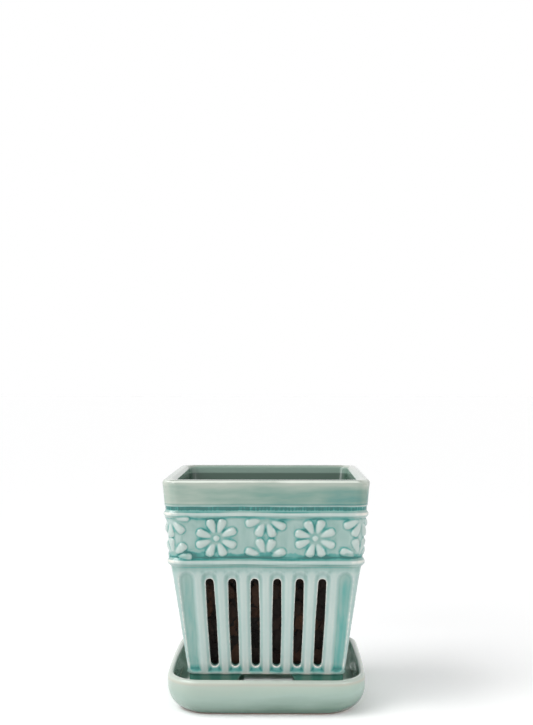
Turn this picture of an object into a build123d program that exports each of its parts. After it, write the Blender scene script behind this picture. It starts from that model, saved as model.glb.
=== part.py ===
from build123d import *
import math
import os

# A square, tapered orchid pot of glazed clay with fluted and slotted walls, its saucer and its bark.
# Lengths are in millimetres. Z is up, the origin is under the middle of the saucer and -Y is a front.

# Pot heights, from the saucer's floor up
foot_height = 19.4
body_height = 78.1
lower_bead_height = 5.4
frieze_height = 28.4
upper_bead_height = 4.8
groove_height = 3.4
collar_height = 18.0

# Pot width across the flats of its rim, and how far each part below it stands in on each side
rim_width = 144.8
lip_stand = 0.2
collar_flare = 1.2
groove_inset = 0.4
frieze_flare = 3.6
frieze_stand = 0.6
body_flare = 10.4
body_corner = 6.5
band_corner = 11.0

# Pot walls, foot and edges
pot_wall = 8.0
pot_floor = 5.0
cavity_corner = 7.0
lip_height = 3.6
rim_round = 2.2
rim_inner_chamfer = 2.0
body_edge_chamfer = 0.7
foot_inset = 1.5
foot_wall = 6.0
foot_corner = 6.0
notch_width = 39.0
notch_corner = 5.0
drain_diameter = 16.0
bead_stand = 1.6
bead_chamfer_share = 0.3

# Flutes and slots: the outer flutes of each face are blind
flutes_per_face = 8
blind_flutes_each_side = 1
outer_flute_inset_bottom = 5.95
outer_flute_inset_top = 10.5
rib_width = 3.5
flute_depth = 1.5
flute_side_run = 2.6
flute_side_drop = 1.4
flute_top_margin = 3.6
flute_bottom_margin = 1.6
slot_end_width = 5.6
slot_middle_width = 6.4
arch_sides = 6
slot_top_margin = 9.5
slot_bottom_margin = 5.3

# Daisies of the frieze: whole flowers, and parts of flowers whose middles lie above the frieze's edges
petals_per_flower = 8
corner_petals = 2
whole_flower_offset = 34.2
high_flower_rise = 0.9
low_flower_rise = 1.8
petal_start = 3.2
petal_widest = 9.6
petal_tip = 13.2
petal_width = 6.2
petal_tip_width = 3.0
petal_stand = 1.4
petal_low_crest = 6.4
petal_low_stand = 1.1
petal_root = 0.9
petal_tail = 1.8
eye_diameter = 3.8
eye_stand = 1.0
eye_sides = 6

# Saucer
saucer_margin = 15.0
saucer_height = 25.8
saucer_wall = 4.6
saucer_floor = 5.0
saucer_curve = 22.0
saucer_curve_drop = 4.0
saucer_corner = 25.0
saucer_side_bow = 1.5
saucer_lip_chamfer = 1.5
saucer_inner_slope = 5.0
base_recess_depth = 1.5
base_ring_width = 6.0
base_recess_corner = 12.5

# Bark
bark_gap = 0.4
bark_headspace = 17.0
chips_per_row = 6
chip_length = 24.0
chip_width = 15.0
chip_thickness = 9.0
chip_rise = 2.4
chip_sink = 2.6
chip_tilt_angle = 9.0
chip_turn_angle = 137.5

# One overrun for every cut
overrun = 1.0

# A rounded edge is this many bevels, which keeps the solids light
round_steps = 3

faces = 4
quarter_turn = 90.0
full_turn = 360.0

# Widths that follow from the rim's
collar_top_width = rim_width - 2 * lip_stand
collar_bottom_width = collar_top_width - 2 * collar_flare
frieze_top_width = collar_bottom_width - 2 * groove_inset
frieze_bottom_width = frieze_top_width - 2 * frieze_flare
body_top_width = frieze_bottom_width - 2 * frieze_stand
body_bottom_width = body_top_width - 2 * body_flare
saucer_width = body_bottom_width + 2 * saucer_margin

# Levels above the ground
seat_level = base_recess_depth + saucer_floor
body_bottom = seat_level + foot_height
body_top = body_bottom + body_height
frieze_bottom = body_top + lower_bead_height
frieze_top = frieze_bottom + frieze_height
collar_bottom = frieze_top + upper_bead_height + groove_height
rim_top = collar_bottom + collar_height
lip_bottom = rim_top - lip_height
cavity_bottom = body_bottom + pot_floor


def between(low, high, share):
    """The value that lies a share of the way from low to high."""
    return low + (high - low) * share


def rounded_square(half, corner, level):
    """A flat square with rounded corners at a level."""
    return Pos(0, 0, level) * RectangleRounded(2 * half, 2 * half, corner)


def frustum(low, high, low_half, high_half, corner, soften=fillet):
    """A block that widens from the low level to the high one, with softened upright corners."""
    flare = high_half - low_half
    width = 2 * low_half
    block = Wedge(width, high - low, width, -flare, -flare, width + flare, width + flare,
                  rotation=(quarter_turn, 0, 0), align=(Align.CENTER, Align.MIN, Align.CENTER))
    block = Pos(0, 0, low) * block
    return soften(block.edges().group_by(Axis.Z)[1], corner)


def round_point(half, radius, drop, step):
    """Reach and depth of a point on a rounded edge, from the upright side at step 0 to the flat face."""
    centre_depth = radius - drop
    angle = math.asin(centre_depth / radius) * step / round_steps
    reach = half - radius + radius * math.cos(angle)
    return Vector(reach, centre_depth - radius * math.sin(angle))


def round_in_steps(block, side, half, radius, drop=0):
    """Rounds a block's bottom edge (side 0) or top edge (side -1): each step is one more bevel."""
    edge_reach = half
    for step in range(round_steps):
        upper = round_point(half, radius, drop, step)
        lower = round_point(half, radius, drop, step + 1)
        new_reach = upper.X - upper.Y * (upper.X - lower.X) / (upper.Y - lower.Y)
        flat = block.faces().sort_by(Axis.Z)[side]
        along_the_side = (upper - Vector(edge_reach, 0)).length
        block = chamfer(flat.edges(), edge_reach - new_reach, along_the_side, reference=flat)
        edge_reach = new_reach
    return block


def body_half(level):
    """Half width of the fluted wall at a level."""
    share = (level - body_bottom) / body_height
    return between(body_bottom_width, body_top_width, share) / 2


def frieze_half(level):
    """Half width of the frieze's ground at a level."""
    share = (level - body_top) / (collar_bottom - body_top)
    return between(frieze_bottom_width, frieze_top_width, share) / 2


def cavity_half(level):
    """Half width of the pot's inside at a level: parallel to the fluted wall, and steeper above it."""
    if level <= body_top:
        return body_half(level) - pot_wall
    share = (level - body_top) / (rim_top - body_top)
    return between(body_top_width, rim_width, share) / 2 - pot_wall


# Saucer

def bowed_square(half, corner, level):
    """A flat square with rounded corners and sides that bow out to the half width."""
    reach = half - saucer_side_bow
    side = ThreePointArc((-reach, -reach), (0, -half), (reach, -reach))
    sides = [Rot(0, 0, quarter_turn * turn) * side for turn in range(faces)]
    sheet = make_face(sides)
    return Pos(0, 0, level) * fillet(sheet.vertices(), corner)


def make_saucer():
    half = saucer_width / 2
    inner_outline = bowed_square(half - saucer_wall, saucer_corner - saucer_wall, seat_level)
    hollow = extrude(inner_outline, saucer_height)
    slope_height = saucer_curve - saucer_curve_drop - seat_level
    hollow = chamfer(hollow.edges().group_by(Axis.Z)[0], slope_height, saucer_inner_slope)
    bowl = extrude(bowed_square(half, saucer_corner, 0), saucer_height)
    saucer = round_in_steps(bowl, 0, half, saucer_curve, saucer_curve_drop) - hollow
    saucer = chamfer(saucer.faces().sort_by(Axis.Z)[-1].edges(), saucer_lip_chamfer)
    base_half = round_point(half, saucer_curve, saucer_curve_drop, round_steps).X
    recess = extrude(rounded_square(base_half - base_ring_width, base_recess_corner, 0), base_recess_depth)
    return saucer - recess


# Pot

def bead(half, corner, level, thickness):
    """A plate with a bevelled rim: the rim stands out of the wall as a bead."""
    plate = extrude(rounded_square(half, corner, level), thickness)
    rims = plate.edges().group_by(Axis.Z)
    return chamfer(rims[0] + rims[-1], thickness * bead_chamfer_share)


def flute_places():
    """Where each flute stands, counted in pitches from the middle of its face."""
    return [flute - (flutes_per_face - 1) / 2 for flute in range(flutes_per_face)]


def flute_pitch(level):
    """Distance between two flutes at a level."""
    share = (level - body_bottom) / body_height
    inset = between(outer_flute_inset_bottom, outer_flute_inset_top, share)
    return 2 * (body_half(level) - inset) / (flutes_per_face - 1)


def wall_strip(place, low_level, high_level):
    """The front wall's plane, centred on a flute's line between two levels, and half that line's length."""
    low = Vector(place * flute_pitch(low_level), -body_half(low_level), low_level)
    high = Vector(place * flute_pitch(high_level), -body_half(high_level), high_level)
    outward = Vector(0, -body_height, -body_flare)
    across = (high - low).cross(outward)
    return Plane(origin=(low + high) / 2, x_dir=across, z_dir=outward), (high - low).length / 2


def arch(width, end, start):
    """Points of a half circle of short straight sides, whose top is at an end of the flute's line."""
    radius = width / 2
    middle = Vector(0, math.copysign(abs(end) - radius, end))
    spoke = Vector(radius, 0)
    side_turn = full_turn / 2 / arch_sides
    return [middle + spoke.rotate(Axis.Z, start + side_turn * side) for side in range(arch_sides + 1)]


def flute_cutter(place):
    """A shallow block with an arched top and sloping sides that presses one flute into the front wall."""
    wall, reach = wall_strip(place, body_bottom + flute_bottom_margin, body_top - flute_top_margin)
    low_width = flute_pitch(body_bottom) - rib_width
    high_width = flute_pitch(body_top) - rib_width
    feet = [Vector(-low_width / 2, -reach), Vector(low_width / 2, -reach)]
    outline = make_face(Polyline(*feet, *arch(high_width, reach, 0), close=True))
    block = Pos(0, 0, -flute_depth) * extrude(outline, flute_depth + overrun)
    floor = block.faces().sort_by(Axis.Z)[0]
    return wall * chamfer(floor.edges(), flute_side_run, flute_side_drop, reference=floor)


def slot_cutter(place):
    """A slot with round ends and slightly barrelled sides, right through the front wall."""
    wall, reach = wall_strip(place, body_bottom + slot_bottom_margin, body_top - slot_top_margin)
    top = arch(slot_end_width, reach, 0)
    bottom = arch(slot_end_width, -reach, full_turn / 2)
    side = Vector(slot_middle_width / 2, 0)
    outline = make_face(Polyline(*top, -side, *bottom, side, close=True))
    return extrude(wall * outline, pot_wall + overrun, both=True)


def frieze_point(along, level, stand):
    """A point off the frieze's ground, a distance along the front face and on round its corner."""
    flat = frieze_half(level) - band_corner
    angle = max(0, abs(along) - flat) / band_corner
    reach = band_corner + stand
    x = min(abs(along), flat) + reach * math.sin(angle)
    return Vector(math.copysign(x, along), -flat - reach * math.cos(angle), level)


def corner_distance(level):
    """Distance along the frieze from the middle of a face to the middle of its corner."""
    return frieze_half(level) - band_corner + band_corner * math.radians(quarter_turn) / 2


def raised_facets(outline, crests, place):
    """A closed solid that rises from its root in the wall, each edge of the outline to its own crest."""
    roots = [place(point, -petal_root) for point in outline]
    tops = [place(*crest) for crest in crests]
    tail = place(crests[0][0], -petal_tail)
    sides = []
    for edge, top in enumerate(tops):
        start, end = roots[edge], roots[(edge + 1) % len(roots)]
        next_top = tops[(edge + 1) % len(tops)]
        sides += [Face(Wire.make_polygon([start, end, peak])) for peak in (top, tail)]
        if next_top != top:
            sides.append(Face(Wire.make_polygon([end, next_top, top])))
    return Solid(Shell(sides))


def make_flower(offset, level, angles, mirror, at_corner=False, with_eye=False):
    """The petals of one flower at a place on the front frieze, at these angles from its right."""
    def place(point, stand):
        here = level + point.Y
        along = offset + point.X + (corner_distance(here) if at_corner else 0)
        return frieze_point(-along if mirror else along, here, stand)

    spread = 1 + petal_root / petal_stand
    right_side = [(petal_start, 0), (petal_widest, petal_width / 2), (petal_tip, petal_tip_width / 2)]
    outline = [Vector(x, y) for x, y in right_side + [(x, -y) for x, y in right_side[:0:-1]]]
    low_crest = Vector(petal_low_crest, 0)
    high_crest = Vector(petal_widest, 0)
    flower = []
    for angle in angles:
        root = [(high_crest + (point - high_crest) * spread).rotate(Axis.Z, angle) for point in outline]
        low = (low_crest.rotate(Axis.Z, angle), petal_low_stand)
        high = (high_crest.rotate(Axis.Z, angle), petal_stand)
        flower.append(raised_facets(root, [low, high, high, high, low], place))
    if with_eye:
        edge = Vector(eye_diameter / 2, 0)
        eye = [edge.rotate(Axis.Z, full_turn * side / eye_sides) for side in range(eye_sides)]
        flower.append(raised_facets(eye, [(Vector(0, 0), eye_stand)] * eye_sides, place))
    return flower


def petal_angles(first, count):
    """Angles of some petals of one flower, in degrees from its right."""
    return [first + full_turn * petal / petals_per_flower for petal in range(count)]


def make_frieze_flowers(mirror):
    """The flowers of one face. Its two corner flowers are turned by half a petal from each other."""
    step = full_turn / petals_per_flower
    half_turn = full_turn / 2
    middle = (frieze_bottom + frieze_top) / 2
    high = frieze_top + high_flower_rise
    low = frieze_bottom + low_flower_rise
    whole = petal_angles(step / 2, petals_per_flower)
    flowers = []
    for offset in (-whole_flower_offset, whole_flower_offset):
        flowers += make_flower(offset, middle, whole, mirror, with_eye=True)
    for level, start in ((high, half_turn), (low, 0)):
        flowers += make_flower(0, level, petal_angles(start + step / 2, petals_per_flower // 2), mirror)
    first_high = half_turn + step / 2
    first_low = first_high - corner_petals * step
    flowers += make_flower(0, high, petal_angles(first_high, corner_petals), mirror, at_corner=True)
    flowers += make_flower(0, low, petal_angles(first_low, corner_petals), mirror, at_corner=True)
    with_corner_petal = corner_petals if mirror else corner_petals + 1
    first_low = half_turn - (with_corner_petal - 1) * step
    flowers += make_flower(0, high, petal_angles(half_turn, with_corner_petal), not mirror, at_corner=True)
    flowers += make_flower(0, low, petal_angles(first_low, with_corner_petal), not mirror, at_corner=True)
    return flowers


def notch_cutter():
    """An arch through the foot from side to side, with round upper corners."""
    arch = Pos(0, seat_level) * RectangleRounded(notch_width, 2 * foot_height, notch_corner)
    return extrude(Plane.XZ * arch, body_bottom_width / 2, both=True)


def make_foot():
    half = body_bottom_width / 2 - foot_inset
    outline = rounded_square(half, foot_corner, seat_level)
    ring = outline - rounded_square(half - foot_wall, foot_corner, seat_level)
    notch = notch_cutter()
    return extrude(ring, foot_height + overrun) - notch - Rot(0, 0, quarter_turn) * notch


def make_pot():
    body = frustum(body_bottom, body_top, body_bottom_width / 2, body_top_width / 2, body_corner)
    body = chamfer(body.faces().sort_by(Axis.Z)[0].edges(), body_edge_chamfer)
    frieze = frustum(body_top, collar_bottom, frieze_bottom_width / 2, frieze_top_width / 2, band_corner)
    collar = frustum(collar_bottom, lip_bottom, collar_bottom_width / 2, collar_top_width / 2, band_corner)
    lip = extrude(rounded_square(rim_width / 2, band_corner, lip_bottom), lip_height)
    lip = round_in_steps(lip, -1, rim_width / 2, rim_round)
    low_half, middle_half, high_half = [cavity_half(level) for level in (cavity_bottom, body_top, rim_top)]
    cavity = frustum(cavity_bottom, body_top, low_half, middle_half, cavity_corner)
    cavity += frustum(body_top, rim_top, middle_half, high_half, cavity_corner)
    collar = collar + lip - cavity
    collar = chamfer(collar.faces().sort_by(Axis.Z)[-1].inner_wires()[0].edges(), rim_inner_chamfer)
    lower_bead = bead(frieze_half(frieze_bottom) + bead_stand, band_corner, body_top, lower_bead_height)
    upper_bead = bead(frieze_half(frieze_top) + bead_stand, band_corner, frieze_top, upper_bead_height)
    pot = body + frieze + lower_bead + upper_bead - cavity + collar + make_foot()

    flutes = [flute_cutter(place) for place in flute_places()]
    slots = [slot_cutter(place) for place in flute_places()[blind_flutes_each_side:-blind_flutes_each_side]]
    flowers = []
    for turn in range(faces):
        spin = Rot(0, 0, quarter_turn * turn)
        pot -= [spin * cutter for cutter in flutes + slots]
        flowers += [spin * petal for petal in make_frieze_flowers(turn % 2 == 1)]
    return pot + flowers - Pos(0, 0, cavity_bottom) * Cylinder(drain_diameter / 2, 2 * pot_floor + overrun)


# Bark

def bark_block(low, high):
    """The pot's inside between two levels, less the gap, with flat corners that clear its round ones."""
    low_half, high_half = cavity_half(low) - bark_gap, cavity_half(high) - bark_gap
    return frustum(low, high, low_half, high_half, cavity_corner, chamfer)


def make_chip(number, level):
    """A flake of bark, rooted in the plug. Each has an angle and a tilt of its own."""
    flake = Box(chip_length, chip_width, chip_thickness, align=(Align.CENTER, Align.CENTER, Align.MAX))
    turn = chip_turn_angle * number
    tilt_left = chip_tilt_angle * math.sin(math.radians(2 * turn))
    tilt_back = chip_tilt_angle * math.cos(math.radians(3 * turn))
    pitch = 2 * cavity_half(level) / chips_per_row
    places = [(place - (chips_per_row - 1) / 2) * pitch for place in divmod(number, chips_per_row)]
    return Pos(*places, level) * Rot(tilt_left, tilt_back, turn) * Pos(0, 0, chip_rise) * flake


def make_bark():
    """A plug of bark whose top is rough with flakes."""
    low = cavity_bottom + bark_gap
    high = rim_top - bark_headspace - chip_sink
    chips = [make_chip(number, high) for number in range(chips_per_row ** 2)]
    return (bark_block(low, high) + chips) & bark_block(low, rim_top)


os.makedirs("parts", exist_ok=True)
export_step(make_saucer(), "parts/saucer.step")
export_step(make_pot(), "parts/pot.step")
export_step(make_bark(), "parts/bark_mix.step")
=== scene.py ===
import math
import random

import bpy
from mathutils import Euler, Matrix, Vector, noise


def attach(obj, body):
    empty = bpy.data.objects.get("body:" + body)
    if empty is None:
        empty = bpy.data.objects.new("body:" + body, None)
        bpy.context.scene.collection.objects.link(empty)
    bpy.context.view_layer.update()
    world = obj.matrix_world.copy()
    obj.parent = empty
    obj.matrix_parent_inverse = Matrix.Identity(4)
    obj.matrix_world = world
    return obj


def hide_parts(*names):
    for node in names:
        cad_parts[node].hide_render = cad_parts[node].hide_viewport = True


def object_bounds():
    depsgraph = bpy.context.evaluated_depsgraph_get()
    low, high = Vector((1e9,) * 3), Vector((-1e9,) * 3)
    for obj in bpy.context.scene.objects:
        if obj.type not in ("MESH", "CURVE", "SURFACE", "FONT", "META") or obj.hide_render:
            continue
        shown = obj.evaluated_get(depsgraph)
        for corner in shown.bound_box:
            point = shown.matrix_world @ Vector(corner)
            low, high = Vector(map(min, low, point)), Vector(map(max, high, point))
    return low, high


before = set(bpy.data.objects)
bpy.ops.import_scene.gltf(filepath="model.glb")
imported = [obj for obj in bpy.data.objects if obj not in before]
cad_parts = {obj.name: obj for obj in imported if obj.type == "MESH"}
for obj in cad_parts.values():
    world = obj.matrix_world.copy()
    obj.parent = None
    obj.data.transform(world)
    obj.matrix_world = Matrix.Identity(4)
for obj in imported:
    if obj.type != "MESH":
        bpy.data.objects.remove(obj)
cadBox = [list(corner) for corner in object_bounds()]
mm = 0.001
mergeDistance = 0.001 * mm
faceCount = 4
print("frame loaded")


# Small helpers for the modelling steps

def activate(piece):
    if bpy.context.object and bpy.context.object.mode != "OBJECT":
        bpy.ops.object.mode_set(mode="OBJECT")
    bpy.ops.object.select_all(action="DESELECT")
    piece.select_set(True)
    bpy.context.view_layer.objects.active = piece


def startEditing(piece):   # into edit mode, with all of the piece selected
    activate(piece)
    bpy.ops.object.mode_set(mode="EDIT")
    bpy.ops.mesh.select_all(action="SELECT")


def stopEditing():
    bpy.ops.object.mode_set(mode="OBJECT")


def selectWhere(piece, wanted):   # in edit mode, selects the points for which wanted(place) is true
    bpy.ops.mesh.select_all(action="DESELECT")
    bpy.ops.object.mode_set(mode="OBJECT")
    for point in piece.data.vertices:
        point.select = wanted(point.co)
    bpy.ops.object.mode_set(mode="EDIT")


def added(name):   # the primitive that was just added, with its place and size taken into its mesh
    piece = bpy.context.object
    piece.name = name
    bpy.ops.object.transform_apply(location=True, rotation=True, scale=True)
    return piece


def modify(piece, kind, **settings):
    modifier = piece.modifiers.new(kind.title(), kind)
    for key, value in settings.items():
        setattr(modifier, key, value)
    activate(piece)
    bpy.ops.object.modifier_apply(modifier=modifier.name)


def copyOf(piece, name):
    copy = bpy.data.objects.new(name, piece.data.copy())
    bpy.context.scene.collection.objects.link(copy)
    return copy


def joined(pieces, name):
    activate(pieces[0])
    for piece in pieces:
        piece.select_set(True)
    bpy.ops.object.join()
    pieces[0].name = name
    return pieces[0]


def merged(node, name):   # a copy of a CAD node, whose loose triangles are joined
    piece = copyOf(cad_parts[node], name)
    startEditing(piece)
    bpy.ops.mesh.remove_doubles(threshold=mergeDistance)
    stopEditing()
    return piece


def smoothShading(piece):
    activate(piece)
    bpy.ops.object.shade_smooth()


def triangles(piece):
    return sum(len(face.vertices) - 2 for face in piece.data.polygons)


def quarterTurns(count):
    return Matrix.Rotation(count * math.pi / 2, 3, "Z")


def between(one, other, level):   # a size at a level, on the straight line through two (level, size) pairs
    (low, lowSize), (high, highSize) = one, other
    return lowSize + (highSize - lowSize) * (level - low) / (high - low)


# Shader maths: a Wire is a socket that can be used in sums

class Wire:
    def __init__(self, shader, socket):
        self.shader = shader
        self.socket = socket

    def maths(self, operation, *terms):
        return self.shader.node("Math", {"operation": operation}, dict(enumerate(terms)))

    def __add__(self, other):
        return self.maths("ADD", self, other)

    def __radd__(self, other):
        return self.maths("ADD", other, self)

    def __sub__(self, other):
        return self.maths("SUBTRACT", self, other)

    def __rsub__(self, other):
        return self.maths("SUBTRACT", other, self)

    def __mul__(self, other):
        return self.maths("MULTIPLY", self, other)

    def __rmul__(self, other):
        return self.maths("MULTIPLY", other, self)

    def __truediv__(self, other):
        return self.maths("DIVIDE", self, other)

    def positive(self):
        return self.maths("ABSOLUTE", self)

    def part(self):
        return self.maths("FRACT", self)

    def smaller(self, other):
        return self.maths("MINIMUM", self, other)

    def larger(self, other):
        return self.maths("MAXIMUM", self, other)

    def limited(self, low, high):
        return self.smaller(high).larger(low)

    def step(self, low, high):   # 0 below low, 1 above high, with a soft middle
        settings = {"interpolation_type": "SMOOTHSTEP"}
        return self.shader.node("MapRange", settings, {0: self, 1: low, 2: high, 3: 0.0, 4: 1.0})

    def below(self, low, high):   # 1 below low, 0 above high
        return 1 - self.step(low, high)

    def band(self, low, high, soft):
        return self.step(low - soft, low + soft) * self.below(high - soft, high + soft)


class Shader:
    def __init__(self, name):
        self.material = bpy.data.materials.new(name)
        self.material.use_nodes = True
        self.tree = self.material.node_tree
        self.surface = self.tree.nodes["Principled BSDF"]

    def feed(self, socket, value):
        if isinstance(value, Wire):
            self.tree.links.new(value.socket, socket)
        else:
            socket.default_value = value

    def node(self, kind, settings, sockets, output=0):
        made = self.tree.nodes.new("ShaderNode" + kind)
        for key, value in settings.items():
            if key == "stops":
                self.setStops(made.color_ramp, value)
            else:
                setattr(made, key, value)
        for key, value in sockets.items():
            self.feed(made.inputs[key], value)
        return Wire(self, made.outputs[output])

    def setStops(self, ramp, stops):
        while len(ramp.elements) < len(stops):
            ramp.elements.new(1.0)
        for element, (place, tint) in zip(ramp.elements, stops):
            element.position = place
            element.color = tint

    def place(self):
        return self.node("TexCoord", {}, {}, "Object")

    def axis(self, name):
        return self.node("SeparateXYZ", {}, {0: self.place()}, name)

    def attribute(self, name):
        return self.node("Attribute", {"attribute_name": name}, {}, "Fac")

    def noise(self, scale, detail, stretch=(1, 1, 1)):   # from 0 to 1
        vector = self.node("Mapping", {}, {"Vector": self.place(), "Scale": stretch})
        sockets = {"Vector": vector, "Scale": scale, "Detail": detail}
        return self.node("TexNoise", {}, sockets, "Fac")

    def waver(self, scale, detail, stretch=(1, 1, 1)):   # from -0.5 to 0.5
        return self.noise(scale, detail, stretch) - 0.5

    def ramp(self, stops, value):
        inRange = self.node("Clamp", {}, {0: value})
        return self.node("ValToRGB", {"stops": stops}, {0: inRange})

    def mix(self, factor, one, other):
        return self.node("Mix", {"data_type": "RGBA"}, {0: factor, 6: one, 7: other}, 2)

    def bump(self, height, strength, distance):
        return self.node("Bump", {}, {"Strength": strength, "Distance": distance, "Height": height})

    def finish(self, **values):
        for name, value in values.items():
            self.feed(self.surface.inputs[name], value)
        return self.material


def colour(code):   # a web colour as the linear values that a shader wants
    values = [int(code[i:i + 2], 16) / 255 for i in (1, 3, 5)]
    return tuple(((v + 0.055) / 1.055) ** 2.4 if v > 0.04045 else v / 12.92 for v in values) + (1.0,)


# Camera, at the photograph's height and angle

view = {
    "distance": 0.767,
    "height": 0.2267,
    "lens": 50.24,
    "sensor": 36,
    "nearest": 0.01,
    "turn": math.radians(0.9),
    "sideways": -0.0006,
    "riseOfView": 0.0366,
}


def makeCamera():
    camera = bpy.data.objects.new("camera", bpy.data.cameras.new("camera"))
    bpy.context.scene.collection.objects.link(camera)
    camera.data.lens = view["lens"]
    camera.data.sensor_width = view["sensor"]
    camera.data.shift_y = view["riseOfView"]
    camera.data.clip_start = view["nearest"]
    turn = Matrix.Rotation(view["turn"], 3, "Z")
    camera.location = turn @ Vector((view["sideways"], -view["distance"], view["height"]))
    camera.rotation_euler = (math.pi / 2, 0, view["turn"])
    bpy.context.scene.camera = camera


makeCamera()
print("camera placed")


# Pot: the CAD pot's form with fuller petals on its frieze, softened as by a coat of glaze

pot = {
    "voxel": 0.6 * mm,
    "softening": 4,           # smoothing steps
    "smoothShare": 0.5,       # how far each step takes a point towards its neighbours' middle
    "ridgeReach": 7,          # smoothing steps that find sharp edges, and those that find broad hollows
    "ridgeDepth": 0.16 * mm,
    "poolReach": 30,
    "poolDepth": 0.42 * mm,
    "triangleLimit": 195000,
    "waveHeight": 0.7 * mm,   # how far the frieze and its beads rise and fall along a side
    "waveLength": 34 * mm,
    "waveLevels": (98 * mm, 106 * mm, 143 * mm, 150 * mm),
    "petalSides": 18,
    "ringReach": 0.01,        # finds the points of one ring, in a petal that is one unit long
    "petalStart": 4.0 * mm,
    "petalLength": 9.5 * mm,
    "petalWidth": 5.3 * mm,
    "petalHeight": 1.6 * mm,
    "petalSway": 0.06,        # how far the petals' angles and places vary, as on a hand-finished mould
    "petalShift": 0.25 * mm,
    "seed": 5,
    "petalWidths": (0.30, 0.42, 0.60, 0.77, 0.91, 1.0, 1.0, 0.86, 0.57),   # from its root to its tip
    "petalHeights": (0.12, 0.26, 0.45, 0.64, 0.83, 0.97, 1.0, 0.86, 0.56),
    "petalSpread": 1.07,      # the flowers are a little wider than high
    "petalCount": 8,
    "eyeSides": 16,
    "eyeRings": 10,
    "eyeRadius": 1.75 * mm,
    "eyeHeight": 1.1 * mm,
    "wholeFlower": 34.2 * mm,
    "middleLevel": 123.6 * mm,
    "highLevel": 137.5 * mm,
    "lowLevel": 110.1 * mm,
    "bandCorner": 11.0 * mm,
    "bandBottom": (104.0 * mm, 67.0 * mm),   # level and half width of the frieze's ground
    "bandTop": (146.0 * mm, 70.6 * mm),
    "ground": (109.5 * mm, 137.7 * mm),      # levels between the beads
}


def bandHalf(level):
    return between(pot["bandBottom"], pot["bandTop"], level)


def bandPoint(along, level, stand):   # along the front of the frieze and on round its corner
    corner = pot["bandCorner"]
    flat = bandHalf(level) - corner
    angle = max(0.0, abs(along) - flat) / corner
    x = min(abs(along), flat) + (corner + stand) * math.sin(angle)
    return Vector((math.copysign(x, along), -flat - (corner + stand) * math.cos(angle), level))


def cornerMiddle(level):   # how far along the frieze the middle of its corner is
    return bandHalf(level) - pot["bandCorner"] * (1 - math.pi / 4)


def makePetal():   # a drop-shaped pad that lies along +X, with its underside below the ground
    rings = len(pot["petalWidths"]) + 1
    bpy.ops.mesh.primitive_uv_sphere_add(segments=pot["petalSides"], ring_count=rings, radius=0.5,
                                         location=(0.5, 0, 0), rotation=(0, math.pi / 2, 0))
    petal = added("petal")
    startEditing(petal)
    bpy.ops.mesh.select_mode(type="VERT")
    for ring, (width, height) in enumerate(zip(pot["petalWidths"], pot["petalHeights"]), 1):
        angle = math.pi * ring / rings
        place, rounding = 0.5 - 0.5 * math.cos(angle), math.sin(angle)
        selectWhere(petal, lambda point: abs(point.x - place) < pot["ringReach"])
        size = (1, width / rounding, height / rounding)
        bpy.ops.transform.resize(value=size, center_override=(place, 0, 0))
    bpy.ops.mesh.select_all(action="SELECT")
    size = (pot["petalLength"], pot["petalWidth"], 2 * pot["petalHeight"])
    bpy.ops.transform.resize(value=size, center_override=(0, 0, 0))
    bpy.ops.transform.translate(value=(pot["petalStart"], 0, 0))
    stopEditing()
    return petal


def makeEye():
    bpy.ops.mesh.primitive_uv_sphere_add(segments=pot["eyeSides"], ring_count=pot["eyeRings"],
                                         radius=pot["eyeRadius"])
    eye = added("eye")
    startEditing(eye)
    bpy.ops.transform.resize(value=(1, 1, pot["eyeHeight"] / pot["eyeRadius"]), center_override=(0, 0, 0))
    stopEditing()
    return eye


def laid(shape, offset, level, angle, turn, mirror, atCorner):   # a copy of a shape, bent onto the frieze
    copy = copyOf(shape, "laid")
    cosine, sine = math.cos(angle), math.sin(angle)
    spin = quarterTurns(turn)
    for point in copy.data.vertices:
        x, y, z = point.co
        here = level + x * sine + y * cosine
        along = offset + (x * cosine - y * sine) * pot["petalSpread"]
        if atCorner:
            along += cornerMiddle(here)
        point.co = spin @ bandPoint(-along if mirror else along, here, z)
    if mirror:
        copy.data.flip_normals()
    return copy


def levelFrieze(piece):   # takes the CAD petals down to the frieze's ground, as fuller ones take their place
    corner = pot["bandCorner"]
    low, high = pot["ground"]
    for point in piece.data.vertices:
        x, y, z = point.co
        flat = bandHalf(z) - corner
        overX, overY = max(abs(x) - flat, 0), max(abs(y) - flat, 0)
        reach = math.hypot(overX, overY)
        if low < z < high and reach > corner:
            point.co.x = math.copysign(min(abs(x), flat) + overX * corner / reach, x)
            point.co.y = math.copysign(min(abs(y), flat) + overY * corner / reach, y)


def makeFlowers():
    petal, eye = makePetal(), makeEye()
    whole = pot["petalCount"]
    step = math.tau / whole
    middle, high, low = pot["middleLevel"], pot["highLevel"], pot["lowLevel"]
    sway = random.Random(pot["seed"])
    flowers = []

    def flower(offset, level, first, count, turn, mirror, atCorner=False):
        for place in range(count):
            angle = first + step * place + sway.uniform(-pot["petalSway"], pot["petalSway"])
            shift = [sway.uniform(-pot["petalShift"], pot["petalShift"]) for _ in range(2)]
            flowers.append(laid(petal, offset + shift[0], level + shift[1], angle, turn, mirror, atCorner))

    for turn in range(faceCount):
        mirror = turn % 2 == 1
        for offset in (-pot["wholeFlower"], pot["wholeFlower"]):
            flower(offset, middle, step / 2, whole, turn, mirror)
            flowers.append(laid(eye, offset, middle, 0, turn, mirror, False))
        flower(0, high, math.pi + step / 2, whole // 2, turn, mirror)
        flower(0, low, step / 2, whole // 2, turn, mirror)
        flower(0, high, math.pi + step / 2, 2, turn, mirror, True)
        flower(0, low, math.pi - 1.5 * step, 2, turn, mirror, True)
        count = 2 if mirror else 3   # the petal on the corner itself belongs to one of its two sides
        flower(0, high, math.pi, count, turn, not mirror, True)
        flower(0, low, math.pi - (count - 1) * step, count, turn, not mirror, True)
    for shape in (petal, eye):
        bpy.data.objects.remove(shape)
    return flowers


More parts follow.
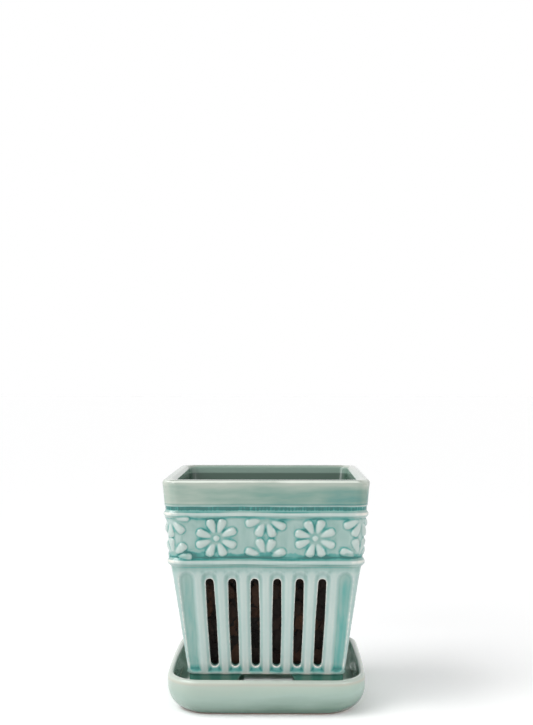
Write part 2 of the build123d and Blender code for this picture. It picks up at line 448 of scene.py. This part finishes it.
def makeWavy(piece):   # the gentle unevenness of slip-cast clay, none at the rim and the foot
    start, full, ending, end = pot["waveLevels"]
    for point in piece.data.vertices:
        x, y, z = point.co
        share = max(0.0, min(1.0, (z - start) / (full - start), (end - z) / (end - ending)))
        wave = noise.noise(Vector((x, y, 0)) / pot["waveLength"])
        point.co.z = min(z + pot["waveHeight"] * share * wave, cadBox[1][2])


def recordRelief(piece, name, steps, depth):   # 1 in a hollow of this depth, -1 on a ridge as high
    smooth = copyOf(piece, "smooth")
    modify(smooth, "SMOOTH", factor=pot["smoothShare"], iterations=steps)
    attribute = piece.data.attributes.new(name, "FLOAT", "POINT")
    for point, other, value in zip(piece.data.vertices, smooth.data.vertices, attribute.data):
        value.value = (other.co - point.co).dot(point.normal) / depth
    bpy.data.objects.remove(smooth)


def makePot():
    cast = merged("pot", "glazedPot")
    levelFrieze(cast)
    piece = joined([cast] + makeFlowers(), "glazedPot")
    modify(piece, "REMESH", mode="VOXEL", voxel_size=pot["voxel"])
    modify(piece, "SMOOTH", factor=pot["smoothShare"], iterations=pot["softening"])
    makeWavy(piece)
    recordRelief(piece, "ridge", pot["ridgeReach"], pot["ridgeDepth"])
    recordRelief(piece, "pool", pot["poolReach"], pot["poolDepth"])
    print("pot before thinning:", triangles(piece), "triangles")
    modify(piece, "DECIMATE", ratio=pot["triangleLimit"] / triangles(piece))
    smoothShading(piece)
    print("pot:", triangles(piece), "triangles")
    return piece


glaze = {
    "bodyStops": [   # from the thinnest glaze to the thickest
        (0.00, colour("#dfd8d0")),
        (0.12, colour("#c5c7c0")),
        (0.24, colour("#a8b6b1")),
        (0.40, colour("#97aca8")),
        (0.58, colour("#7d9b94")),
        (0.76, colour("#4f8f89")),
        (0.90, colour("#217670")),
        (1.00, colour("#195f5a")),
    ],
    "collarStops": [
        (0.00, colour("#cfd6cd")),
        (0.20, colour("#9fa69c")),
        (0.40, colour("#8a9b90")),
        (0.62, colour("#6c8b80")),
        (0.84, colour("#437a76")),
        (1.00, colour("#296561")),
    ],
    # Inside the pot: a lighter band under the rim and dark green deeper down, partly thicker glaze and
    # partly painted shade
    "insideTint": colour("#3c584a"),
    "insideLip": colour("#728d80"),
    # Painted shade: the foot, which stands in the gloom inside the saucer, is darkened to a dark green
    "footShadeTint": colour("#3f6a5c"),
    "footShadeShare": 0.8,
    "rawTint": colour("#b9a58e"),

    # The relief that counts, from ridge to hollow
    "poolRange": (-0.75, 1.2),
    "ridgeRange": (-1.2, 1.0),

    # Patterns: each noise's scale, detail and stretch
    "cloud": (26, 3.0),
    "runs": (240, 2.0, (1, 1, 0.10)),
    "brush": (210, 3.0, (0.18, 0.18, 1)),
    "wobble": (95, 2.0, (1, 1, 0.2)),
    "ticks": (800, 1.0, (1, 1, 0.05)),
    "ragged": (90, 3.0, (1, 1, 0.15)),
    "patches": (110, 2.0),
    "grain": (150, 2.0),

    # Levels between which a change comes about, from the foot up
    "bare": (6.9 * mm, 7.3 * mm),
    "foot": (25.2 * mm, 26.4 * mm),
    "fluteFoot": (27 * mm, 34 * mm),
    "floor": (29.5 * mm, 30.5 * mm),
    "calmWall": (34 * mm, 40 * mm),
    "overWall": (103 * mm, 105 * mm),
    "collar": (145.6 * mm, 147.2 * mm),
    "collarRoot": (146.2 * mm, 148.2 * mm),
    "collarFoot": (148 * mm, 151 * mm),
    "lip": (154.5 * mm, 160.5 * mm),
    "insideDeep": (157.2 * mm, 158.6 * mm),
    "insideTop": (161.8 * mm, 163.2 * mm),
    "rimTop": (161.9 * mm, 163.0 * mm),
    "rimEdge": (71.2 * mm, 71.9 * mm),   # these two are half widths

    # Bands: where each starts and ends, and how soft its edges are
    "wall": (27 * mm, 103 * mm, 1.5 * mm),
    "fluted": (27.5 * mm, 100.4 * mm, 1.2 * mm),
    "blindLevels": (30 * mm, 95 * mm, 8 * mm),
    "underBead": (99.5 * mm, 104 * mm, 1.6 * mm),
    "friezeFoot": (106.5 * mm, 112.9 * mm, 0.8 * mm),
    "frieze": (109.4 * mm, 138 * mm, 0.8 * mm),
    "groove": (143.1 * mm, 145.8 * mm, 0.6 * mm),
    "beads": ((138.2 * mm, 142 * mm, 0.6 * mm), (104.6 * mm, 109 * mm, 0.6 * mm)),
    "beadCrests": ((139.5 * mm, 141.4 * mm, 0.6 * mm), (106.0 * mm, 107.9 * mm, 0.6 * mm)),

    # Across the wall, counted in flutes
    "pitch": ((25.9 * mm, 14.30 * mm), (104.0 * mm, 15.97 * mm)),   # level and distance between two flutes
    "ribEdge": (0.36, 0.48),            # these three are from a flute's middle
    "fluteFootEdge": (0.12, 0.42),
    "fluteSide": (0.17, 0.34, 0.05),
    "lastSlot": (2.9, 3.0),             # and these from the middle of a side
    "blindFlute": (3.26, 3.72, 0.24),
    "lastRib": (3.9, 4.0),
    "cornerShares": (0.90, 0.985),      # shares of the half width, where a corner's edge begins

    # The inner wall's half width at a level, how fast it widens, and the depth over which the inside begins
    "innerHalf": (104.0 * mm, 58.4 * mm),
    "innerSlope": 0.118,
    "innerDepth": (1.2 * mm, 3.0 * mm),

    # How far the lines wander
    "grooveWander": 0.8 * mm,
    "grooveTicks": 0.5 * mm,
    "friezeFootWander": 9 * mm,

    # How strong some things are
    "friezeFootWobble": 1.6,
    "patchContrast": 3,
    "patchStart": 0.9,
    "crestShare": 0.8,   # of a bead's glaze, which runs off its crest
    "calmShare": 0.55,   # of the pools' tint, which the wall goes without
    "sharpFrom": 0.3,    # edges that are sharper than this break pale, partly thin glaze and partly a painted highlight

    "grainStrength": 0.10,
    "grainDepth": 0.4 * mm,
    "roughness": 0.2,
    "rawRoughness": 0.6,
    "coat": 0.4,
    "coatRoughness": 0.08,

    # What each thing adds to the glaze's thickness, where 1 is the whole ramp of colours
    "bodyAdds": {
        "ground": 0.39,
        "pool": 0.46,
        "ridge": 0.2,
        "cloud": 0.12,
        "runs": 0.16,
        "rib": -0.05,
        "fluteFoot": 0.46,
        "fluteSide": 0.11,
        "blind": 0.25,
        "blindRuns": 0.25,
        "blindToTheRight": 1.2,   # for each metre
        "edgeBreakAndHighlight": -1.2,
        "groove": 0.52,
        "grooveTicks": 0.6,
        "friezeFoot": 0.3,
        "underBead": 0.12,
        "frieze": 0.05,
        "friezeRidge": 0.1,
        "friezePool": 0.5,
        "beads": 0.38,
        "corner": -0.1,
        "wallCorner": 0.08,
        "leastOnFrieze": 0.26,
    },
    "collarAdds": {
        "ground": 0.60,
        "pool": 0.2,
        "ridge": 0.12,
        "brush": 0.5,
        "cloud": 0.2,
        "lip": -0.22,
        "crest": -0.3,
        "corner": -0.12,
        "foot": -0.06,
        "root": 0.46,
        "toTheRight": 3.0,   # for each metre
    },
}


def wallThickness(shader, level, along, runs):   # what the flutes, their feet and the ribs add
    thicker = glaze["bodyAdds"]
    flutes = along / between(*glaze["pitch"], level)
    fromFlute = (flutes.part() - 0.5).positive()
    fluted = level.band(*glaze["fluted"])
    insideRibs = flutes.below(*glaze["lastRib"])
    rib = fromFlute.step(*glaze["ribEdge"]) * fluted * insideRibs
    foot = fromFlute.below(*glaze["fluteFootEdge"]) * level.below(*glaze["fluteFoot"]) * insideRibs
    # Strips in the flutes beside the slots are darker: partly glaze pooled there, partly painted shade
    side = fromFlute.band(*glaze["fluteSide"]) * fluted * flutes.below(*glaze["lastSlot"])
    blind = flutes.band(*glaze["blindFlute"]) * level.band(*glaze["blindLevels"])
    inBlind = thicker["blind"] + thicker["blindRuns"] * runs + thicker["blindToTheRight"] * shader.axis("X")
    lines = thicker["rib"] * rib + thicker["fluteFoot"] * foot + thicker["fluteSide"] * side
    return lines + blind * inBlind


def friezeThickness(shader, level, pool, ridge, onFrieze):   # what the groove, the beads and the flowers add
    thicker = glaze["bodyAdds"]
    wobble, ticks = shader.waver(*glaze["wobble"]), shader.waver(*glaze["ticks"])
    wandering = level + glaze["grooveWander"] * wobble + glaze["grooveTicks"] * ticks
    groove = wandering.band(*glaze["groove"])
    ragged = level - glaze["friezeFootWander"] * shader.waver(*glaze["ragged"])
    foot = ragged.band(*glaze["friezeFoot"]) * onFrieze * (1 + glaze["friezeFootWobble"] * wobble)
    patchy = (shader.noise(*glaze["patches"]) * glaze["patchContrast"] - glaze["patchStart"]).larger(0)
    relief = thicker["friezeRidge"] * ridge.larger(0) + thicker["friezePool"] * pool.larger(0)
    upper, lower = [level.band(*band) for band in glaze["beads"]]
    upperCrest, lowerCrest = [level.band(*band) for band in glaze["beadCrests"]]
    beads = upper + lower - glaze["crestShare"] * (upperCrest + lowerCrest)
    lines = groove * (thicker["groove"] + thicker["grooveTicks"] * ticks) + thicker["friezeFoot"] * foot
    lines = lines + thicker["underBead"] * level.band(*glaze["underBead"]) + thicker["beads"] * beads
    return lines + onFrieze * (thicker["frieze"] + patchy * relief)


def bodyTint(shader, level, along, pool, ridge, cloud, corner):
    thicker = glaze["bodyAdds"]
    runs = shader.waver(*glaze["runs"])
    onWall, onFrieze = level.band(*glaze["wall"]), level.band(*glaze["frieze"])
    calm = 1 - glaze["calmShare"] * onWall * level.step(*glaze["calmWall"])
    # Sharp edges on the wall turn pale: partly glaze breaking thin, partly a painted highlight
    edgeBreakAndHighlight = (-glaze["sharpFrom"] - ridge).larger(0) * onWall
    thickness = thicker["ground"] + thicker["pool"] * pool * calm + thicker["ridge"] * ridge
    thickness = thickness + thicker["cloud"] * cloud + thicker["runs"] * runs
    thickness = thickness + thicker["edgeBreakAndHighlight"] * edgeBreakAndHighlight + wallThickness(shader, level, along, runs)
    thickness = thickness + friezeThickness(shader, level, pool, ridge, onFrieze)
    atCorner = thicker["corner"] * level.step(*glaze["overWall"]) + thicker["wallCorner"] * onWall
    thickness = (thickness + corner * atCorner).larger(thicker["leastOnFrieze"] * onFrieze)
    return shader.ramp(glaze["bodyStops"], thickness)


def collarTint(shader, level, out, pool, ridge, cloud, corner):
    thick = glaze["collarAdds"]
    lip = level.step(*glaze["lip"])
    # The rim's crest is paler: partly glaze thinning off the edge, partly a painted highlight
    crest = out.step(*glaze["rimEdge"]) * level.step(*glaze["rimTop"])
    thickness = thick["ground"] + thick["pool"] * pool + thick["ridge"] * ridge + thick["cloud"] * cloud
    thickness = thickness + thick["brush"] * shader.waver(*glaze["brush"])
    thickness = thickness + thick["lip"] * lip + thick["crest"] * crest + thick["corner"] * corner
    thickness = thickness + thick["foot"] * level.below(*glaze["collarFoot"])
    thickness = thickness + thick["root"] * level.below(*glaze["collarRoot"])
    thickness = thickness + thick["toTheRight"] * shader.axis("X") * (1 - lip)
    return shader.ramp(glaze["collarStops"], thickness)


def makePotGlaze():
    shader = Shader("celadonGlaze")
    pool = shader.attribute("pool").limited(*glaze["poolRange"])
    ridge = shader.attribute("ridge").limited(*glaze["ridgeRange"])
    level, x, y = shader.axis("Z"), shader.axis("X").positive(), shader.axis("Y").positive()
    along, out = x.smaller(y), x.larger(y)
    cloud = shader.waver(*glaze["cloud"])
    corner = (along / out).step(*glaze["cornerShares"])
    body = bodyTint(shader, level, along, pool, ridge, cloud, corner)
    collar = collarTint(shader, level, out, pool, ridge, cloud, corner)
    tint = shader.mix(level.step(*glaze["collar"]), body, collar)

    # Inside the pot: lighter just under the rim, dark green deeper down; partly thicker glaze, partly
    # painted shade in the pot's depth
    turnLevel, turnHalf = glaze["innerHalf"]
    pastInnerWall = out - (turnHalf + glaze["innerSlope"] * (level - turnLevel))
    inside = pastInnerWall.below(*glaze["innerDepth"]) * level.step(*glaze["floor"])
    insideTint = shader.mix(level.below(*glaze["insideDeep"]), glaze["insideLip"], glaze["insideTint"])
    tint = shader.mix(inside * level.below(*glaze["insideTop"]), tint, insideTint)
    # Painted shade: the foot is darkened towards a dark green, as it stands in the saucer's shade
    tint = shader.mix(glaze["footShadeShare"] * level.below(*glaze["foot"]), tint, glaze["footShadeTint"])
    raw = level.below(*glaze["bare"])
    tint = shader.mix(raw, tint, glaze["rawTint"])
    bump = shader.bump(shader.noise(*glaze["grain"]), glaze["grainStrength"], glaze["grainDepth"])
    return shader.finish(**{
        "Base Color": tint,
        "Roughness": glaze["roughness"] + glaze["rawRoughness"] * raw,
        "Normal": bump,
        "Coat Weight": glaze["coat"] * (1 - raw),
        "Coat Roughness": glaze["coatRoughness"],
    })


potPiece = makePot()
potPiece.data.materials.clear()
potPiece.data.materials.append(makePotGlaze())
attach(potPiece, "pot")
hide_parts("pot")
print("pot made")


# Saucer: rings of a rounded square, from the middle of its underside out, up and back in to its floor

saucer = {
    "corner": 0.335,       # corner radius as a share of a ring's half width
    "cornerSteps": 8,
    "sideSteps": 8,
    "straightShare": 0.9,  # an edge nearly as long as the longest is one of the straight sides
    "subdivisions": 2,
    "bow": 1.5 * mm,       # how far the middle of a side stands out past its ends
    "bowHalf": 71 * mm,    # the half width at which it does, and less in proportion where it is smaller
    "bowFrom": 20 * mm,    # nearer the middle nothing bows

    # Half widths and levels in millimetres, and the glaze's thickness, where above 1.1 is raw clay; down the
    # outer wall it also grows as painted shade towards the base
    "underside": [
        (3, 1.5),
        (40, 1.5),
        (54.2, 1.5),
        (55.2, 1.2),
        (55.8, 0.3),
        (56.4, 0.0),
        (58.6, 0.0),
        (60.9, 0.0),
    ],
    "wallRadius": 22.0,
    "wallCentre": (49.0, 18.0),
    "wallDegrees": (54.5, 51.5, 50.5, 43, 36, 29, 22, 15, 8, 0),   # below the horizontal, from the base up
    "rawDegrees": 51,
    "rawGlaze": 1.3,
    # Painted shade: the outer wall darkens towards its base, more for each degree that it turns under
    "wallGlaze": 0.42,
    "wallShadeFall": 110,
    "underLip": (71.0, 21.0, 0.3, 0.2),   # the fourth is how much of the clay shows
    "lipRadius": 2.3,
    "lipCentre": (68.7, 23.5),
    "lipDegrees": (0, 30, 60, 90, 120, 150, 180),
    "lipGlaze": 0.08,
    "well": [
        (66.4, 21.5, 0.4),
        (66.3, 18.5, 0.46),
        (65.6, 14.0, 0.5),
        (64.2, 10.2, 0.56),
        (62.0, 7.7, 0.62),
        (59.0, 6.6, 0.62),
        (55.0, 6.5, 0.6),
        (30.0, 6.5, 0.6),
        (3.0, 6.5, 0.6),
    ],

    "stops": [   # from the thinnest glaze to the thickest
        (0.00, colour("#afb8ae")),
        (0.14, colour("#9fa9a0")),
        (0.32, colour("#97a69b")),
        (0.50, colour("#8fa399")),
        (0.66, colour("#7d9388")),
        (0.82, colour("#587466")),
        (1.00, colour("#41594c")),
    ],
    "insideTint": colour("#aac4b5"),
    "edgeTint": colour("#a1917e"),
    "edgeShare": 0.32,
    "edgeRange": (0.3, 0.9),
    "rawTint": colour("#8a6450"),
    "rawRange": (1.1, 1.2),
    "cloud": (30, 3.0),
    "cloudShare": 0.10,
    "brush": (230, 3.0, (0.2, 0.2, 1)),
    "brushShare": 0.16,
    "toTheRight": 1.2,     # how much thicker for each metre
    "roughness": 0.2,
    "rawRoughness": 0.6,
    "insideRoughness": -0.1,
    "coat": 0.4,
    "insideCoat": 0.6,
    "coatRoughness": 0.03,
}


def onArc(centre, radius, degrees):
    angle = math.radians(degrees)
    return centre[0] + radius * math.cos(angle), centre[1] + radius * math.sin(angle)


def saucerRings():   # half width, level, glaze with painted shade down the wall, 1 where the lip's edge shows the clay, and 1 inside
    rings = [(half, level, saucer["rawGlaze"], 0, 0) for half, level in saucer["underside"]]
    for degrees in saucer["wallDegrees"]:
        # Painted shade, darker towards the base, added to the wall's glaze
        thickness = saucer["wallGlaze"] + degrees / saucer["wallShadeFall"]
        if degrees > saucer["rawDegrees"]:
            thickness = saucer["rawGlaze"]
        rings.append((*onArc(saucer["wallCentre"], saucer["wallRadius"], -degrees), thickness, 0, 0))
    rings.append((*saucer["underLip"], 0))
    first, last = saucer["lipDegrees"][0], saucer["lipDegrees"][-1]
    for degrees in saucer["lipDegrees"]:
        half, level = onArc(saucer["lipCentre"], saucer["lipRadius"], degrees)
        rings.append((half, level, saucer["lipGlaze"], int(degrees == first), int(degrees == last)))
    return rings + [(*ring, 0, 1) for ring in saucer["well"]]


def edgeLength(piece, edge):
    one, other = [piece.data.vertices[index].co for index in edge.vertices]
    return (one - other).length


def makeFirstRing(half, level):   # a rounded square of edges alone, which is left selected in edit mode
    bpy.ops.mesh.primitive_plane_add(size=2 * half * mm, location=(0, 0, level * mm))
    piece = added("glazedSaucer")
    corner = saucer["corner"] * half * mm
    startEditing(piece)
    bpy.ops.mesh.bevel(offset=corner, segments=saucer["cornerSteps"], affect="VERTICES")
    bpy.ops.mesh.delete(type="ONLY_FACE")
    stopEditing()
    longest = max(edgeLength(piece, edge) for edge in piece.data.edges)
    for edge in piece.data.edges:
        edge.select = edgeLength(piece, edge) > saucer["straightShare"] * longest
    bpy.ops.object.mode_set(mode="EDIT")
    bpy.ops.mesh.select_mode(type="EDGE")
    bpy.ops.mesh.subdivide(number_cuts=saucer["sideSteps"])
    bpy.ops.mesh.select_all(action="SELECT")
    return piece


def makeSaucer():
    rings = saucerRings()
    piece = makeFirstRing(*rings[0][:2])
    for (oldHalf, oldLevel, *_), (newHalf, newLevel, *_) in zip(rings, rings[1:]):
        rise = (newLevel - oldLevel) * mm
        scale = newHalf / oldHalf
        bpy.ops.mesh.extrude_edges_move(TRANSFORM_OT_translate={"value": (0, 0, rise)})
        bpy.ops.transform.resize(value=(scale, scale, 1), center_override=(0, 0, 0))
    bpy.ops.mesh.edge_face_add()
    stopEditing()
    ringSize = faceCount * (saucer["cornerSteps"] + 1 + saucer["sideSteps"])
    for column, name in ((2, "pool"), (3, "lipEdge"), (4, "inside")):
        attribute = piece.data.attributes.new(name, "FLOAT", "POINT")
        for index, value in enumerate(attribute.data):
            value.value = rings[min(index // ringSize, len(rings) - 1)][column]
    for point in piece.data.vertices:
        near, far = sorted((abs(point.co.x), abs(point.co.y)))
        if far > saucer["bowFrom"]:
            point.co *= 1 - saucer["bow"] * (near / far) ** 2 / saucer["bowHalf"]
    modify(piece, "SUBSURF", levels=saucer["subdivisions"], render_levels=saucer["subdivisions"])
    startEditing(piece)
    bpy.ops.mesh.normals_make_consistent(inside=False)
    stopEditing()
    smoothShading(piece)
    return piece


def makeSaucerGlaze():
    shader = Shader("saucerGlaze")
    # The rings' pool value is the glaze's thickness, with painted shade that darkens the outer wall towards
    # the base
    thickness = shader.attribute("pool") + saucer["cloudShare"] * shader.waver(*saucer["cloud"])
    thickness = thickness + saucer["brushShare"] * shader.waver(*saucer["brush"])
    thickness = thickness + saucer["toTheRight"] * shader.axis("X")
    tint = shader.ramp(saucer["stops"], thickness)
    lipEdge = shader.attribute("lipEdge").step(*saucer["edgeRange"])
    tint = shader.mix(saucer["edgeShare"] * lipEdge, tint, saucer["edgeTint"])
    raw = thickness.step(*saucer["rawRange"])
    tint = shader.mix(raw, tint, saucer["rawTint"])
    inside = shader.attribute("inside")
    tint = shader.mix(inside, tint, saucer["insideTint"])
    rough = saucer["roughness"] + saucer["rawRoughness"] * raw + saucer["insideRoughness"] * inside
    return shader.finish(**{
        "Base Color": tint,
        "Roughness": rough,
        "Coat Weight": (saucer["coat"] + saucer["insideCoat"] * inside) * (1 - raw),
        "Coat Roughness": saucer["coatRoughness"],
    })


saucerPiece = makeSaucer()
saucerPiece.data.materials.append(makeSaucerGlaze())
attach(saucerPiece, "saucer")
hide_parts("saucer")
print("saucer:", triangles(saucerPiece), "triangles")


# Bark: the CAD plug, roughened, with chips laid flat on its sides and loosely on its top

bark = {
    "bottom": (31.3 * mm, 48.3 * mm),   # level and half width
    "wallTurn": (104.0 * mm, 58.0 * mm),
    "top": (149.0 * mm, 62.4 * mm),
    "bed": 144.4 * mm,
    "wallGap": 0.1 * mm,
    "coreInset": 1.6 * mm,
    "coreVoxel": 1.6 * mm,
    "roughness": 0.9 * mm,
    "roughEven": 0.3,            # how even the roughness is, and how much of it goes in and out
    "roughOutward": 0.7,
    "chipShapes": 7,
    "chipSize": (14 * mm, 8.5 * mm, 2.6 * mm),
    "chipCuts": 2,
    "chipEnd": 0.4,              # past this share of its length a chip is narrower and thinner, by these
    "chipEndTaper": (1, 0.7, 0.55),
    "chipSide": 0.3,             # and past this share of its width it is shorter and thinner
    "chipSideTaper": (0.85, 1, 0.6),
    "chipTears": 1.5 * mm,
    "chipThinning": 0.6,
    "chipScale": (0.7, 1.3),
    "sideRows": 10,
    "sideColumns": 10,
    "sideJitter": 0.3,
    "sideMargin": 5 * mm,
    "sideDepth": (1.0 * mm, 2.6 * mm),
    "sideLean": 0.05,
    "sideTilt": 0.08,
    "sideRoll": 0.5,
    "topChips": 150,
    "topMargin": 8 * mm,
    "topRise": (0.5 * mm, 3.2 * mm),
    "topTilt": 0.18,
    "seed": 12,
    "stops": [
        (0.0, colour("#130d09")),
        (0.45, colour("#261811")),
        (0.8, colour("#432918")),
        (1.0, colour("#664226")),
    ],
    "toneShare": 0.7,
    "grain": (420, 4.0),
    "grainShare": 0.5,
    "fibre": (300, 2.0, (1, 1, 0.2)),
    "fibreShare": 0.3,
    "noiseMiddle": 0.4,
    "grainStrength": 0.8,
    "grainDepth": 0.6 * mm,
    "dullness": 0.85,
}
chance = random.Random(bark["seed"])


def barkHalf(level):
    if level > bark["wallTurn"][0]:
        return between(bark["wallTurn"], bark["top"], level)
    return between(bark["bottom"], bark["wallTurn"], level)


def makeChip(number):   # a flake with torn edges
    bpy.ops.mesh.primitive_cube_add(size=1, scale=bark["chipSize"])
    chip = added("chip%d" % number)
    end, side = bark["chipEnd"] * bark["chipSize"][0], bark["chipSide"] * bark["chipSize"][1]
    startEditing(chip)
    bpy.ops.mesh.subdivide(number_cuts=bark["chipCuts"])
    selectWhere(chip, lambda point: abs(point.x) > end)
    bpy.ops.transform.resize(value=bark["chipEndTaper"], center_override=(0, 0, 0))
    selectWhere(chip, lambda point: abs(point.y) > side)
    bpy.ops.transform.resize(value=bark["chipSideTaper"], center_override=(0, 0, 0))
    bpy.ops.mesh.select_all(action="SELECT")
    bpy.ops.transform.vertex_random(offset=bark["chipTears"], uniform=1.0, seed=number)
    bpy.ops.transform.resize(value=(1, 1, bark["chipThinning"]), center_override=(0, 0, 0))
    stopEditing()
    return chip


def makeCore():
    core = merged("bark_mix", "barkCore")
    shrink = 1 - bark["coreInset"] / bark["bottom"][1]
    startEditing(core)
    bpy.ops.transform.resize(value=(shrink, shrink, 1), center_override=(0, 0, 0))
    stopEditing()
    modify(core, "REMESH", mode="VOXEL", voxel_size=bark["coreVoxel"])
    startEditing(core)
    bpy.ops.transform.vertex_random(offset=bark["roughness"], uniform=bark["roughEven"],
                                    normal=bark["roughOutward"], seed=bark["seed"])
    stopEditing()
    return core


def makeChips():
    shapes = [makeChip(number) for number in range(bark["chipShapes"])]
    chips = []

    def lay(turn, place):
        size = [chance.uniform(*bark["chipScale"]) for _ in range(3)]
        copy = copyOf(chance.choice(shapes), "chip")
        copy.data.transform(Matrix.Translation(place) @ turn.to_4x4() @ Matrix.Diagonal((*size, 1)))
        tone = copy.data.attributes.new("tone", "FLOAT", "POINT")
        shade = chance.random()
        for value in tone.data:
            value.value = shade
        chips.append(copy)

    def cell(number, count):   # somewhere in one of a row of cells, from 0 to 1 along the row
        return (number + 0.5 + chance.uniform(-bark["sideJitter"], bark["sideJitter"])) / count

    low, high = bark["bottom"][0], bark["bed"]
    slope = math.atan((barkHalf(high) - barkHalf(low)) / (high - low))
    for side in range(faceCount):
        spin = quarterTurns(side)
        for row in range(bark["sideRows"]):
            for column in range(bark["sideColumns"]):
                level = low + cell(row, bark["sideRows"]) * (high - low)
                half = barkHalf(level)
                along = (cell(column, bark["sideColumns"]) * 2 - 1) * (half - bark["sideMargin"])
                place = Vector((along, chance.uniform(*bark["sideDepth"]) - half, level))
                lean = math.pi / 2 + slope + chance.gauss(0, bark["sideLean"])
                upright = Euler((lean, 0, chance.gauss(0, bark["sideTilt"]))).to_matrix()
                roll = Matrix.Rotation(chance.gauss(math.pi / 2, bark["sideRoll"]), 3, "Z")
                lay(spin @ upright @ roll, spin @ place)
    reach = bark["top"][1] - bark["topMargin"]
    for _ in range(bark["topChips"]):
        x, y = chance.uniform(-reach, reach), chance.uniform(-reach, reach)
        place = Vector((x, y, bark["bed"] + chance.uniform(*bark["topRise"])))
        tiltX, tiltY = chance.gauss(0, bark["topTilt"]), chance.gauss(0, bark["topTilt"])
        lay(Euler((tiltX, tiltY, chance.uniform(0, math.tau))).to_matrix(), place)
    for shape in shapes:
        bpy.data.objects.remove(shape)
    piece = joined(chips, "barkChips")
    for point in piece.data.vertices:   # no chip reaches the pot's walls
        limit = barkHalf(point.co.z) - bark["wallGap"]
        point.co.x = min(max(point.co.x, -limit), limit)
        point.co.y = min(max(point.co.y, -limit), limit)
        point.co.z = min(max(point.co.z, low), bark["top"][0])
    return piece


def makeBarkFinish():
    shader = Shader("bark")
    grain = shader.noise(*bark["grain"])
    fibre = shader.noise(*bark["fibre"])
    shade = bark["toneShare"] * shader.attribute("tone")
    shade = shade + bark["grainShare"] * (grain - bark["noiseMiddle"])
    shade = shade + bark["fibreShare"] * (fibre - bark["noiseMiddle"])
    tint = shader.ramp(bark["stops"], shade)
    bump = shader.bump(grain, bark["grainStrength"], bark["grainDepth"])
    return shader.finish(**{"Base Color": tint, "Roughness": bark["dullness"], "Normal": bump})


barkFinish = makeBarkFinish()
corePiece = makeCore()
chipPiece = makeChips()
for piece in (corePiece, chipPiece):
    piece.data.materials.clear()
    piece.data.materials.append(barkFinish)
    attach(piece, "bark")
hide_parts("bark_mix")
print("bark:", triangles(corePiece) + triangles(chipPiece), "triangles")


# Floor and light

studio = {
    "floorSize": 60.0,
    "floorLevel": -0.02 * mm,
    "floorTint": colour("#f7f7f7"),
    "floorRoughness": 0.9,
    "floorGloss": 0.2,
    "white": (1, 1, 1, 1),
    "sideStrength": 1.0,
    "topStrength": 0.45,
    "skyFall": (0.48, 0.75),          # sines of the heights between which the sky dims
    "sunStrength": 1.75,
    "sunSpread": math.radians(38),
    "sunWay": (0.86, 0.16, -0.98),    # the way that the light travels
    "keyPower": 1.6,
    "keySize": 0.4,
    "keyPlace": (-0.45, -0.5, 0.42),
    "keyWay": (0.45, 0.45, -0.3),
    "fillPower": 0.07,
    "fillSize": 0.2,
    "fillSpread": math.radians(24),
    "fillPlace": (0.62, -0.42, 0.30),
    "fillWay": (-0.53, 0.42, -0.29),
}


def makeFloor():
    bpy.ops.mesh.primitive_plane_add(size=studio["floorSize"], location=(0, 0, studio["floorLevel"]))
    floor = bpy.context.object
    floor.name = "floor"
    floor.data.materials.append(Shader("paper").finish(**{
        "Base Color": studio["floorTint"],
        "Roughness": studio["floorRoughness"],
        "Specular IOR Level": studio["floorGloss"],
    }))


def addLight(name, kind, place, way, power, **settings):
    light = bpy.data.objects.new(name, bpy.data.lights.new(name, kind))
    bpy.context.scene.collection.objects.link(light)
    for key, value in settings.items():
        setattr(light.data, key, value)
    light.data.energy = power
    light.location = place
    light.rotation_euler = Vector(way).to_track_quat("-Z", "Y").to_euler()


def addSoftBox(name, place, way, power, size, **settings):
    addLight(name, "AREA", place, way, power, shape="RECTANGLE", size=size, size_y=size, **settings)


def makeSky():   # white all round at the sides, as in a photographer's tent, and dimmer overhead
    world = bpy.data.worlds.new("studio")
    world.use_nodes = True
    tree = world.node_tree
    direction = tree.nodes.new("ShaderNodeTexCoord")
    axes = tree.nodes.new("ShaderNodeSeparateXYZ")
    fall = tree.nodes.new("ShaderNodeMapRange")
    fall.interpolation_type = "SMOOTHSTEP"
    for place, value in enumerate((*studio["skyFall"], studio["sideStrength"], studio["topStrength"]), 1):
        fall.inputs[place].default_value = value
    background = tree.nodes["Background"]
    background.inputs["Color"].default_value = studio["white"]
    tree.links.new(direction.outputs["Object"], axes.inputs[0])
    tree.links.new(axes.outputs["Z"], fall.inputs[0])
    tree.links.new(fall.outputs[0], background.inputs["Strength"])
    bpy.context.scene.world = world


makeSky()
bpy.context.scene.view_settings.view_transform = "Standard"
makeFloor()
addLight("sun", "SUN", (0, 0, 1), studio["sunWay"], studio["sunStrength"], angle=studio["sunSpread"])
addSoftBox("keyLight", studio["keyPlace"], studio["keyWay"], studio["keyPower"], studio["keySize"])
addSoftBox("fillLight", studio["fillPlace"], studio["fillWay"], studio["fillPower"], studio["fillSize"],
           spread=studio["fillSpread"], specular_factor=0.0)
print("studio set")
